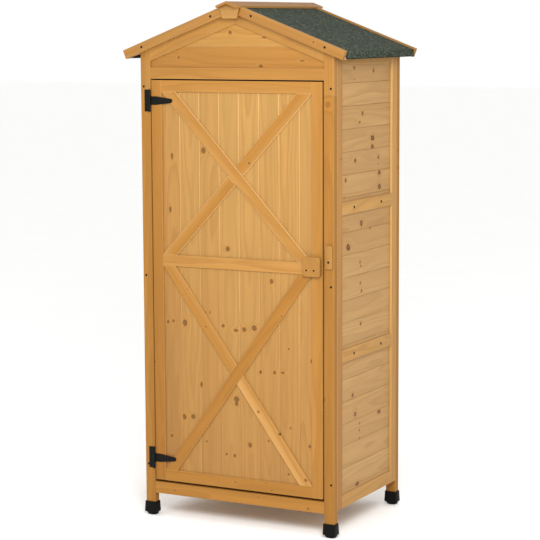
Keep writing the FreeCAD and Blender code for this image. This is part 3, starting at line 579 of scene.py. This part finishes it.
def layGrain(piece, node, seed):
    # Gives every board its own grain direction, pith, tone and knots, as values on its vertices.
    chance = random.Random(seed)
    net = bmesh.new()
    net.from_mesh(piece.data)
    parts = list(looseParts(net))
    middles = [sum((v.co for v in part), Vector()) / len(part) for part in parts]
    spreads = [max(m[axis] for m in middles) - min(m[axis] for m in middles) for axis in range(3)]
    order = sorted(range(len(parts)), key=lambda number: middles[number][spreads.index(max(spreads))])
    corners = [corner for face in net.faces for corner in face.loops]
    for place, corner in enumerate(corners):
        corner.index = place
    count = len(net.verts)
    grain = [0.0] * count * 3
    tones = [0.0] * count
    cuts = [broadFace] * len(corners)
    knots = {letter: [0.0] * count * 4 for letter in knotLetters}
    for rank, number in enumerate(order):
        part = parts[number]
        # sorted, because the order of a set differs from run to run
        edges = sorted({edge for vertex in part for edge in vertex.link_edges}, key=lambda edge: edge.index)
        faces = sorted({face for vertex in part for face in vertex.link_faces}, key=lambda face: face.index)
        board = sawBoard(chance, edges, faces, middles[number])
        tone, fade = toneOf(chance, node, rank)
        rims = [onBoard(vertex.co, board) for vertex in part]
        low = [min(rim[axis] for rim in rims) for axis in range(3)]
        high = [max(rim[axis] for rim in rims) for axis in range(3)]
        spots = knotsOf(chance, board, low, high)
        for face in faces:
            kind = cutOf(face, board)
            for corner in face.loops:
                worn = 1
                # on the door's boards the pale planed edges are a painted highlight, full high up and fading
                # towards the foot
                if node == "door_boards":
                    worn = (corner.vert.co.z - doorEdgeHighlight["foot"]) / doorEdgeHighlight["high"]
                cuts[corner.index] = broadFace + (kind - broadFace) * worn
        for vertex, rim in zip(part, rims):
            grain[vertex.index * 3 : vertex.index * 3 + 3] = rim + board["shift"]
            tones[vertex.index] = tone + fade * (2 * (rim.y - low[1]) / (high[1] - low[1]) - 1)
            # painted shade: upright pieces are made darker towards the ground
            if node in uprightPaintedShade["nodes"]:
                tones[vertex.index] += (vertex.co.z - uprightPaintedShade["middle"]) * uprightPaintedShade["slope"]
            for letter, spot in zip(knotLetters, spots + [knotPlaces["none"]] * len(knotLetters)):
                knots[letter][vertex.index * 4 : vertex.index * 4 + 4] = (
                    spot[0] + board["shift"].x,
                    spot[1] + board["shift"].y,
                    spot[2] / 1000,
                    spot[3],
                )
    net.free()
    piece.data.attributes.new("grain", "FLOAT_VECTOR", "POINT").data.foreach_set("vector", grain)
    piece.data.attributes.new("tone", "FLOAT", "POINT").data.foreach_set("value", tones)
    piece.data.attributes.new("cut", "FLOAT", "CORNER").data.foreach_set("value", cuts)
    for letter in knotLetters:
        spotData = piece.data.attributes.new("knot" + letter, "FLOAT_COLOR", "POINT").data
        spotData.foreach_set("color", knots[letter])


timberPieces = {
    # node: (fir, body, slot, width of its eased edges in mm)
    "front_post_left": ("post", "cabinet", "case_wood", 1.2),
    "front_post_right": ("post", "cabinet", "case_wood", 1.2),
    "back_posts": ("post", "cabinet", "case_wood", 1.2),
    "front_bottom_rail": ("lowRailPaintedShade", "cabinet", "case_wood", 1.0),
    "gable_head_rail": ("gable", "cabinet", "case_wood", 0.8),
    "gable_rafters": ("gable", "cabinet", "case_wood", 0.3),
    "gable_stiles": ("gable", "cabinet", "case_wood", 1.0),
    "gable_boards": ("gable", "cabinet", "case_wood", 0),
    "back_rafters": ("sideFrame", "cabinet", "case_wood", 0.8),
    "back_rails": ("sideFrame", "cabinet", "case_wood", 0.8),
    "back_stiles": ("sideFrame", "cabinet", "case_wood", 0.8),
    "back_boards": ("sideBoard", "cabinet", "case_wood", 0),
    "side_stiles_left": ("sideFrame", "cabinet", "case_wood", 0.8),
    "side_stiles_right": ("sideFrame", "cabinet", "case_wood", 0.8),
    "side_rails_left": ("sideFrame", "cabinet", "case_wood", 0.8),
    "side_rails_right": ("sideFrame", "cabinet", "case_wood", 0.8),
    "side_boards_left": ("sideBoard", "cabinet", "case_wood", 0),
    "side_boards_right": ("sideBoard", "cabinet", "case_wood", 0),
    "door_stile_left": ("doorFrame", "door", "door_wood", 1.0),
    "door_stile_right": ("doorFrame", "door", "door_wood", 1.0),
    "door_rails": ("doorFrame", "door", "door_wood", 0.8),
    "door_boards": ("doorBoard", "door", "door_wood", 0),
    "door_braces_upper": ("upperBracePaintedHighlight", "door", "door_wood", 1.0),
    "door_braces_lower": ("doorFrame", "door", "door_wood", 1.0),
    "catch_plate": ("trim", "door", "latch_wood", 0.8),
    "catch_spacer": ("trim", "door", "latch_wood", 0.6),
    "latch_bar": ("trim", "latch", "latch_wood", 0.8),
    "bargeboard_front_left": ("trim", "cabinet", "roof_trim_wood", 1.2),
    "bargeboard_front_right": ("trim", "cabinet", "roof_trim_wood", 1.2),
    "bargeboard_back_left": ("trim", "cabinet", "roof_trim_wood", 1.2),
    "bargeboard_back_right": ("trim", "cabinet", "roof_trim_wood", 1.2),
    "ridge_board_left": ("trim", "cabinet", "roof_trim_wood", 1.0),
    "ridge_board_right": ("trim", "cabinet", "roof_trim_wood", 1.0),
    "finial_front": ("trim", "cabinet", "roof_trim_wood", 1.0),
    "finial_back": ("trim", "cabinet", "roof_trim_wood", 1.0),
    "roof_boards_left": ("inner", "cabinet", "inner_wood", 0),
    "roof_boards_right": ("inner", "cabinet", "inner_wood", 0),
    "roof_battens": ("inner", "cabinet", "inner_wood", 0.8),
    "floor_boards": ("inner", "cabinet", "inner_wood", 0),
    "floor_bearers": ("inner", "cabinet", "inner_wood", 0.8),
    "shelf_lower": ("inner", "cabinet", "inner_wood", 0),
    "shelf_upper": ("inner", "cabinet", "inner_wood", 0),
    "shelf_bearers": ("inner", "cabinet", "case_wood", 0.8),
    "door_stop": ("inner", "cabinet", "inner_wood", 0.8),
}
shortestEased = 0.012  # shorter edges of the timber stay sharp
firstSeed = 7

for seed, (node, (fir, body, slot, eased)) in enumerate(timberPieces.items(), firstSeed):
    piece = copyNode(node, node + "_fir")
    if eased:
        easeEdges(piece, shortestEased, eased / 1000)
    layGrain(piece, node, seed)
    finishPiece(piece, firMaterials[fir], body, slot, node)
print("cabinet: timber done")

# roof felt

feltLook = {
    # slate on top
    "ground": "#2E3629",
    "pale": "#565D4C",
    "deep": "#1A1F16",
    "speckPlaces": (0.18, 0.4, 0.8, 0.98),  # where deep ends, ground starts and ends, and pale starts
    "grain": 0.0046,  # mineral grains are 1 to 2 mm, drawn coarser so that they show
    "patches": {"Scale": 14.0, "Detail": 3.0},
    "patchShade": {"To Min": 0.86, "To Max": 1.14},
    "relief": {"Strength": 0.8, "Distance": 0.001},
    "finish": {"Roughness": 0.95, "IOR": 1.5, "Specular IOR Level": 0.25},
    # bitumen on the back
    "back": "#171613",
    "backPale": "#2A2925",
    "backPlaces": (0.3, 0.8),
    "wrinkleWaves": (40, 6, 40),  # per metre
    "backRelief": {"Strength": 0.3, "Distance": 0.001},
    "backFinish": {"Roughness": 0.8, "IOR": 1.5, "Specular IOR Level": 0.1},
}
feltSize = {
    "edge": 0.0006,  # rounding of the sheet's long edges
    "longEdge": 0.05,
    "turnIn": 0.0245,
    "turnUp": 0.0095,
    "bend": 0.0015,
    "sheet": 0.0014,
    "inset": 0.0004,  # how far the strip stays inside the fold
    "short": 0.002,  # how much shorter it is than the roof
}


def mineralFelt(look):
    # Bitumen roofing felt with crushed green slate rolled in: matt, rough, speckled.
    material, tree = newMaterial("greenMineralFelt")
    place = addNode(tree, "TexCoord").outputs["Object"]
    grains = addNode(tree, "TexVoronoi", {"Scale": 1 / look["grain"]}, {"Vector": place})
    speck = addNode(tree, "SeparateColor", None, {0: grains.outputs["Color"]})
    colours = [look[key] for key in ("deep", "ground", "ground", "pale")]
    stops = [(0.0, look["deep"]), *zip(look["speckPlaces"], colours)]
    colour = addNode(tree, "ValToRGB", {"stops": stops}, {0: speck.outputs[0]})
    patch = addNode(tree, "TexNoise", look["patches"], {"Vector": place})
    patchShade = addNode(tree, "MapRange", look["patchShade"], {0: patch.outputs["Fac"]})
    shaded = addNode(
        tree, "VectorMath", {"operation": "SCALE"}, {0: colour.outputs[0], "Scale": patchShade.outputs[0]}
    )
    bump = addNode(tree, "Bump", look["relief"], {"Height": grains.outputs["Distance"]})
    shader = addNode(
        tree, "BsdfPrincipled", look["finish"], {"Base Color": shaded.outputs[0], "Normal": bump.outputs[0]}
    )
    addNode(tree, "OutputMaterial", None, {0: shader.outputs[0]})
    return material


def blackBitumen(look):
    # Oxidised bitumen on the felt's back: near black, dull, slightly wrinkled from the roll.
    material, tree = newMaterial("blackBitumenBacking")
    place = addNode(tree, "TexCoord").outputs["Object"]
    stretched = addNode(tree, "VectorMath", {"operation": "MULTIPLY", 1: look["wrinkleWaves"]}, {0: place})
    wrinkle = addNode(tree, "TexNoise", {"Scale": 1.0, "Detail": 3.0}, {0: stretched.outputs[0]})
    stops = list(zip(look["backPlaces"], (look["back"], look["backPale"])))
    colour = addNode(tree, "ValToRGB", {"stops": stops}, {0: wrinkle.outputs["Fac"]})
    bump = addNode(tree, "Bump", look["backRelief"], {"Height": wrinkle.outputs["Fac"]})
    shader = addNode(
        tree, "BsdfPrincipled", look["backFinish"],
        {"Base Color": colour.outputs[0], "Normal": bump.outputs[0]},
    )
    addNode(tree, "OutputMaterial", None, {0: shader.outputs[0]})
    return material


def turnFeltIn(side, material, size):
    # A strip from the fold's lower edge, in under the eave batten and up behind it.
    low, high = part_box("roof_felt")
    outer = high.x - size["inset"]
    inner = outer - size["turnIn"]
    bpy.ops.object.select_all(action="DESELECT")
    bpy.ops.mesh.primitive_plane_add(size=1, location=(0, 0, 0))
    strip = bpy.context.active_object
    strip.name = "felt_return_" + ("right" if side > 0 else "left")
    openMesh(strip)
    bpy.ops.mesh.select_all(action="SELECT")
    bpy.ops.transform.resize(value=(outer - inner, high.y - low.y - size["short"], 1))
    bpy.ops.transform.translate(value=(side * (outer + inner) / 2, 0, low.z - size["sheet"]))

    def isInner(line):
        return all(abs(abs(v.co.x) - inner) < samePlace for v in line.verts)

    pick(strip, "edges", isInner)
    bpy.ops.mesh.extrude_region_move(TRANSFORM_OT_translate={"value": (0, 0, size["turnUp"])})
    pick(strip, "edges", lambda line: isInner(line) and all(v.co.z < low.z for v in line.verts))
    bpy.ops.mesh.bevel(offset=size["bend"], segments=3, profile=0.5)
    closeMesh()
    onlyThis(strip)
    sheet = strip.modifiers.new("sheet", "SOLIDIFY")
    sheet.thickness = size["sheet"]
    sheet.offset = 0
    bpy.ops.object.modifier_apply(modifier=sheet.name)
    openMesh(strip)
    bpy.ops.mesh.select_all(action="SELECT")
    bpy.ops.mesh.normals_make_consistent(inside=False)
    closeMesh()
    smoothRound(strip)
    finishPiece(strip, material, "cabinet", "roof_felt")


feltMaterial = mineralFelt(feltLook)
felt = copyNode("roof_felt", "roof_felt_mineral")
easeEdges(felt, feltSize["longEdge"], feltSize["edge"])
finishPiece(felt, feltMaterial, "cabinet", "roof_felt", "roof_felt")
backMaterial = blackBitumen(feltLook)
for side in (-1, 1):
    turnFeltIn(side, backMaterial, feltSize)
print("cabinet: felt done")

# black steel: hinges and screws

steelLook = {
    "coat": "#0D0D0B",
    "worn": "#191916",
    "wornFrom": 0.55,
    "peel": {"Scale": 420.0, "Detail": 2.0},
    "rub": {"Scale": 60.0, "Detail": 4.0},
    "relief": {"Strength": 0.3, "Distance": 0.0002},
    "rough": 0.42,
    "roughSpan": (0.1, 0.15),  # how much smoother and rougher the rubbed places make it
    "ior": 1.5,
    "sheen": 0.1,
}
hingeEdge = {"width": 0.0004, "shortest": 0.003, "sharpest": 60}


def powderCoatedSteel(name, look):
    # Mild steel, black powder coat: a low satin sheen, fine orange-peel, a little greyer where rubbed.
    material, tree = newMaterial(name)
    place = addNode(tree, "TexCoord").outputs["Object"]
    peel = addNode(tree, "TexNoise", look["peel"], {"Vector": place})
    rub = addNode(tree, "TexNoise", look["rub"], {"Vector": place}).outputs["Fac"]
    stops = [(0.0, look["coat"]), (look["wornFrom"], look["coat"]), (1.0, look["worn"])]
    rubbed = addNode(tree, "ValToRGB", {"stops": stops}, {0: rub})
    smoother, rougher = look["roughSpan"]
    roughSpan = {"To Min": look["rough"] - smoother, "To Max": look["rough"] + rougher}
    rough = addNode(tree, "MapRange", roughSpan, {0: rub})
    bump = addNode(tree, "Bump", look["relief"], {"Height": peel.outputs["Fac"]})
    shader = addNode(
        tree, "BsdfPrincipled", {"IOR": look["ior"], "Specular IOR Level": look["sheen"]},
        {"Base Color": rubbed.outputs[0], "Roughness": rough.outputs[0], "Normal": bump.outputs[0]},
    )
    addNode(tree, "OutputMaterial", None, {0: shader.outputs[0]})
    return material


hingeMaterial = powderCoatedSteel("blackPowderCoatedSteel", steelLook)
screwLook = dict(steelLook, coat="#0E0E0D", worn="#1F1E1C", rough=0.36)
screwMaterial = powderCoatedSteel("blackPhosphatedScrew", screwLook)

for leaf, body in (("plate", "cabinet"), ("strap", "door")):
    for end in ("top", "bottom"):
        node = "hinge_" + leaf + "_" + end
        hinge = copyNode(node, node + "_steel")
        easeEdges(hinge, hingeEdge["shortest"], hingeEdge["width"], hingeEdge["sharpest"])
        finishPiece(hinge, hingeMaterial, body, "black_steel", node)

pins = copyNode("hinge_pins", "hinge_pins_steel")
smoothRound(pins)
finishPiece(pins, hingeMaterial, "cabinet", "black_steel", "hinge_pins")

screwSizes = {
    # head radius, head height, shank radius, shank length, in mm
    "large": {"head": 4.0, "high": 1.9, "shank": 2.0, "long": 24},
    "side": {"head": 4.8, "high": 2.3, "shank": 2.0, "long": 24},
    "small": {"head": 3.2, "high": 1.3, "shank": 1.6, "long": 13},
}
screwShape = {
    "round": 20,  # sides of the head
    "rings": 18,
    "point": 0.3,  # the shank's end, as a share of its radius
    # the cross, as shares of the head's radius and height
    "slotLong": 1.1,
    "slotWide": 0.26,
    "slotDeep": 1.3,
}


def makeScrew(size):
    # Pan head with a cross recess: a ball cut to a low dome, a shank drawn out below it, two slots cut in.
    head, high, shank, long = (size[key] / 1000 for key in ("head", "high", "shank", "long"))
    ball = (head * head + high * high) / (2 * high)
    bpy.ops.object.select_all(action="DESELECT")
    bpy.ops.mesh.primitive_uv_sphere_add(
        segments=screwShape["round"], ring_count=screwShape["rings"], radius=ball
    )
    screw = bpy.context.active_object
    openMesh(screw, "FACE")
    bpy.ops.mesh.select_all(action="SELECT")
    bpy.ops.transform.translate(value=(0, 0, high - ball))
    bpy.ops.mesh.bisect(plane_co=(0, 0, 0), plane_no=(0, 0, 1), clear_inner=True, use_fill=True)
    pick(screw, "faces", lambda face: face.normal.z < -straight)
    bpy.ops.mesh.inset(thickness=head - shank)
    bpy.ops.mesh.extrude_region_move(TRANSFORM_OT_translate={"value": (0, 0, -long)})
    bpy.ops.transform.resize(value=(screwShape["point"], screwShape["point"], 1))
    closeMesh()
    slotLong, slotWide = head * screwShape["slotLong"], head * screwShape["slotWide"]
    for slot in ((slotLong, slotWide), (slotWide, slotLong)):
        bpy.ops.object.select_all(action="DESELECT")
        bpy.ops.mesh.primitive_cube_add(size=1, location=(0, 0, high))
        cutter = bpy.context.active_object
        cutter.scale = (*slot, high * screwShape["slotDeep"])
        onlyThis(cutter)
        bpy.ops.object.transform_apply(location=True, rotation=True, scale=True)
        onlyThis(screw)
        cut = screw.modifiers.new("slot", "BOOLEAN")
        cut.operation = "DIFFERENCE"
        cut.object = cutter
        bpy.ops.object.modifier_apply(modifier=cut.name)
        bpy.data.objects.remove(cutter)
    smoothRound(screw)
    return screw


def screwPlaces(node):  # seat and outward direction of every screw in a CAD node
    net = bmesh.new()
    net.from_mesh(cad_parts[node].data)
    bmesh.ops.remove_doubles(net, verts=net.verts, dist=mergeGap)
    places = []
    for part in looseParts(net):
        spots = [vertex.co.copy() for vertex in part]
        low = Vector([min(spot[axis] for spot in spots) for axis in range(3)])
        high = Vector([max(spot[axis] for spot in spots) for axis in range(3)])
        axis = largestAxis(high - low)
        centre = (low + high) / 2
        rings = {}  # the largest radius at each height of the screw; the largest of all is the head's seat
        for spot in spots:
            off = spot - centre
            off[axis] = 0
            height = round(spot[axis], 5)
            rings[height] = max(rings.get(height, 0), off.length)
        seat = max(rings, key=rings.get)
        outward = Vector((0, 0, 0))
        outward[axis] = 1 if seat > centre[axis] else -1
        centre[axis] = seat
        places.append((centre, outward))
    net.free()
    return places


def driveScrews(node, body, size):  # the screws in the sides have larger heads than those in the front
    copies = []
    for seat, outward in screwPlaces(node):
        model = screwModels["side" if abs(outward.x) > 0.5 else size]
        mesh = model.data.copy()
        mesh.transform(Matrix.Translation(seat) @ outward.to_track_quat("Z", "Y").to_matrix().to_4x4())
        copies.append(addObject(node + "_cross_head", mesh))
    onlyThis(copies[0])
    for copy in copies[1:]:
        copy.select_set(True)
    if len(copies) > 1:
        bpy.ops.object.join()
    finishPiece(copies[0], screwMaterial, body, "black_screw", node)


screwModels = {key: makeScrew(size) for key, size in screwSizes.items()}
driveScrews("case_screws", "cabinet", "large")
driveScrews("latch_pivot_screw", "cabinet", "large")
driveScrews("hinge_plate_screws", "cabinet", "small")
driveScrews("door_screws", "door", "small")
for model in screwModels.values():
    bpy.data.objects.remove(model)
print("cabinet: steel done")

# foot cups

cupLook = {
    "colour": "#0D0D0C",
    "rubbed": "#191918",
    "rubbedPlaces": (0.58, 0.85),
    "spark": {"Scale": 900.0, "Detail": 2.0},
    "scuff": {"Scale": 90.0, "Detail": 5.0, "Roughness": 0.65},
    "roughSpan": {"To Min": 0.42, "To Max": 0.62},
    "relief": {"Strength": 0.25, "Distance": 0.0002},
    "finish": {"IOR": 1.49, "Specular IOR Level": 0.07},
}
footCup = {
    # all in mm
    "legWide": 36,
    "legDeep": 24,
    "wallTop": 3.5,
    "wallLow": 5,
    "top": 47,
    "rimLow": 10.5,
    "rimHigh": 3,  # the rim is upright, and above it the wall leans in
    "legFoot": 14.5,
    "corner": 3.6,
    "rimEdge": 1.4,
    "lipEdge": 0.5,
    "lipGap": 0.05,  # between the wall and the leg
    "glideWide": 21.6,  # half its width and half its depth
    "glideDeep": 16.2,
    "glideEdge": 9.6,
    "glideIn": 1,  # how far it reaches up into the cup
}


def mouldedPolypropylene(look):
    # Injection-moulded black polypropylene: an even fine spark texture, dull sheen, paler where scuffed.
    material, tree = newMaterial("blackMouldedPolypropylene")
    place = addNode(tree, "TexCoord").outputs["Object"]
    spark = addNode(tree, "TexNoise", look["spark"], {"Vector": place})
    scuff = addNode(tree, "TexNoise", look["scuff"], {"Vector": place}).outputs["Fac"]
    stops = [(0.0, look["colour"]), *zip(look["rubbedPlaces"], (look["colour"], look["rubbed"]))]
    colour = addNode(tree, "ValToRGB", {"stops": stops}, {0: scuff})
    rough = addNode(tree, "MapRange", look["roughSpan"], {0: scuff})
    bump = addNode(tree, "Bump", look["relief"], {"Height": spark.outputs["Fac"]})
    shader = addNode(
        tree, "BsdfPrincipled", look["finish"],
        {"Base Color": colour.outputs[0], "Roughness": rough.outputs[0], "Normal": bump.outputs[0]},
    )
    addNode(tree, "OutputMaterial", None, {0: shader.outputs[0]})
    return material


def makeCupWall(size):  # a block with rounded corners that leans in above its rim, hollowed for the leg
    wide, deep = size["legWide"] + 2 * size["wallLow"], size["legDeep"] + 2 * size["wallLow"]
    top, low = size["top"] / 1000, size["rimLow"] / 1000
    bpy.ops.object.select_all(action="DESELECT")
    bpy.ops.mesh.primitive_cube_add(size=1, location=(0, 0, 0))
    cup = bpy.context.active_object
    openMesh(cup, "FACE")
    bpy.ops.mesh.select_all(action="SELECT")
    bpy.ops.transform.resize(value=(wide / 1000, deep / 1000, top - low))
    bpy.ops.transform.translate(value=(0, 0, (top + low) / 2))
    bpy.ops.mesh.bisect(plane_co=(0, 0, low + size["rimHigh"] / 1000), plane_no=(0, 0, 1))
    pick(cup, "faces", lambda face: face.normal.z > straight)
    narrow = 2 * (size["wallLow"] - size["wallTop"])
    bpy.ops.transform.resize(value=(1 - narrow / wide, 1 - narrow / deep, 1))
    bpy.ops.mesh.select_mode(type="EDGE")
    pick(cup, "edges", lambda edge: abs(edge.verts[0].co.z - edge.verts[1].co.z) > samePlace)
    bpy.ops.mesh.bevel(offset=size["corner"] / 1000, segments=5, profile=0.5, clamp_overlap=False)
    pick(cup, "edges", lambda edge: max(v.co.z for v in edge.verts) < low + samePlace)
    bpy.ops.mesh.bevel(offset=size["rimEdge"] / 1000, segments=3, profile=0.5, clamp_overlap=False)
    bpy.ops.mesh.select_mode(type="FACE")
    pick(cup, "faces", lambda face: face.normal.z > straight)
    bpy.ops.mesh.inset(thickness=size["lipEdge"] / 1000)
    bpy.ops.mesh.inset(thickness=(size["wallTop"] - size["lipEdge"] - size["lipGap"]) / 1000)
    down = size["legFoot"] / 1000 - top
    bpy.ops.mesh.extrude_region_move(TRANSFORM_OT_translate={"value": (0, 0, down)})
    closeMesh()
    return cup


def makeGlide(size):  # the oval, rounded underside that the cup stands on
    high = (size["rimLow"] + size["glideIn"]) / 1000
    bpy.ops.object.select_all(action="DESELECT")
    bpy.ops.mesh.primitive_cylinder_add(
        vertices=64, radius=size["glideDeep"] / 1000, depth=high, location=(0, 0, 0)
    )
    glide = bpy.context.active_object
    openMesh(glide)
    bpy.ops.mesh.select_all(action="SELECT")
    bpy.ops.transform.translate(value=(0, 0, high / 2))
    pick(glide, "edges", lambda edge: max(v.co.z for v in edge.verts) < samePlace)
    bpy.ops.mesh.bevel(offset=size["glideEdge"] / 1000, segments=10, profile=0.5, clamp_overlap=False)
    bpy.ops.mesh.select_all(action="SELECT")
    bpy.ops.transform.resize(value=(size["glideWide"] / size["glideDeep"], 1, 1))
    closeMesh()
    return glide


cupMaterial = mouldedPolypropylene(cupLook)
cupModel = makeCupWall(footCup)
glide = makeGlide(footCup)
onlyThis(cupModel)
glide.select_set(True)
bpy.ops.object.join()
smoothRound(cupModel, 40)
for side in ("left", "right"):
    for end in ("front", "back"):
        node = "foot_cap_" + end + "_" + side
        low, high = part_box(node)
        mesh = cupModel.data.copy()
        mesh.transform(Matrix.Translation(((low.x + high.x) / 2, (low.y + high.y) / 2, 0)))
        finishPiece(addObject(node + "_moulded", mesh), cupMaterial, "cabinet", "black_plastic", node)
bpy.data.objects.remove(cupModel)
print("cabinet: foot cups done")

# studio: pale floor, soft light from the front and from above

studio = {
    "floorSize": 80,
    "floorStops": [(0.0, "#FAFAF9"), (1.0, "#FEFEFD")],
    "floorClouds": {"Scale": 3.0, "Detail": 3.0},
    "floorFinish": {"Roughness": 0.7, "Specular IOR Level": 0.2},
    "world": 1.0,
    "lights": [
        # name, place, aim, size, watts
        ("key", (1.7, -2.75, 2.2), (0, -0.2, 1.2), 1.2, 112),
        ("fill", (-1.8, -3.2, 2.6), (0, 0, 1.3), 1.6, 22),
    ],
}


def paleFloor(look):
    # Matt painted board: even, nearly white, with the faintest clouds.
    material, tree = newMaterial("paleStudioFloor")
    place = addNode(tree, "TexCoord").outputs["Object"]
    clouds = addNode(tree, "TexNoise", look["floorClouds"], {"Vector": place})
    colour = addNode(tree, "ValToRGB", {"stops": look["floorStops"]}, {0: clouds.outputs["Fac"]})
    shader = addNode(tree, "BsdfPrincipled", look["floorFinish"], {"Base Color": colour.outputs[0]})
    addNode(tree, "OutputMaterial", None, {0: shader.outputs[0]})
    return material


bpy.ops.object.select_all(action="DESELECT")
bpy.ops.mesh.primitive_plane_add(size=studio["floorSize"], location=(0, 0, 0))
floor = bpy.context.active_object
floor.name = "floor"
floor.data.materials.append(paleFloor(studio))

world = bpy.data.worlds.new("studio")
scene.world = world
world.use_nodes = True
background = world.node_tree.nodes["Background"]
background.inputs["Color"].default_value = (1, 1, 1, 1)
background.inputs["Strength"].default_value = studio["world"]
for name, place, aim, size, watts in studio["lights"]:
    light = bpy.data.lights.new(name, "AREA")
    light.size = size
    light.energy = watts
    lamp = addObject(name, light)
    lamp.location = place
    lamp.rotation_euler = (Vector(aim) - Vector(place)).to_track_quat("-Z", "Y").to_euler()
print("cabinet: studio done")
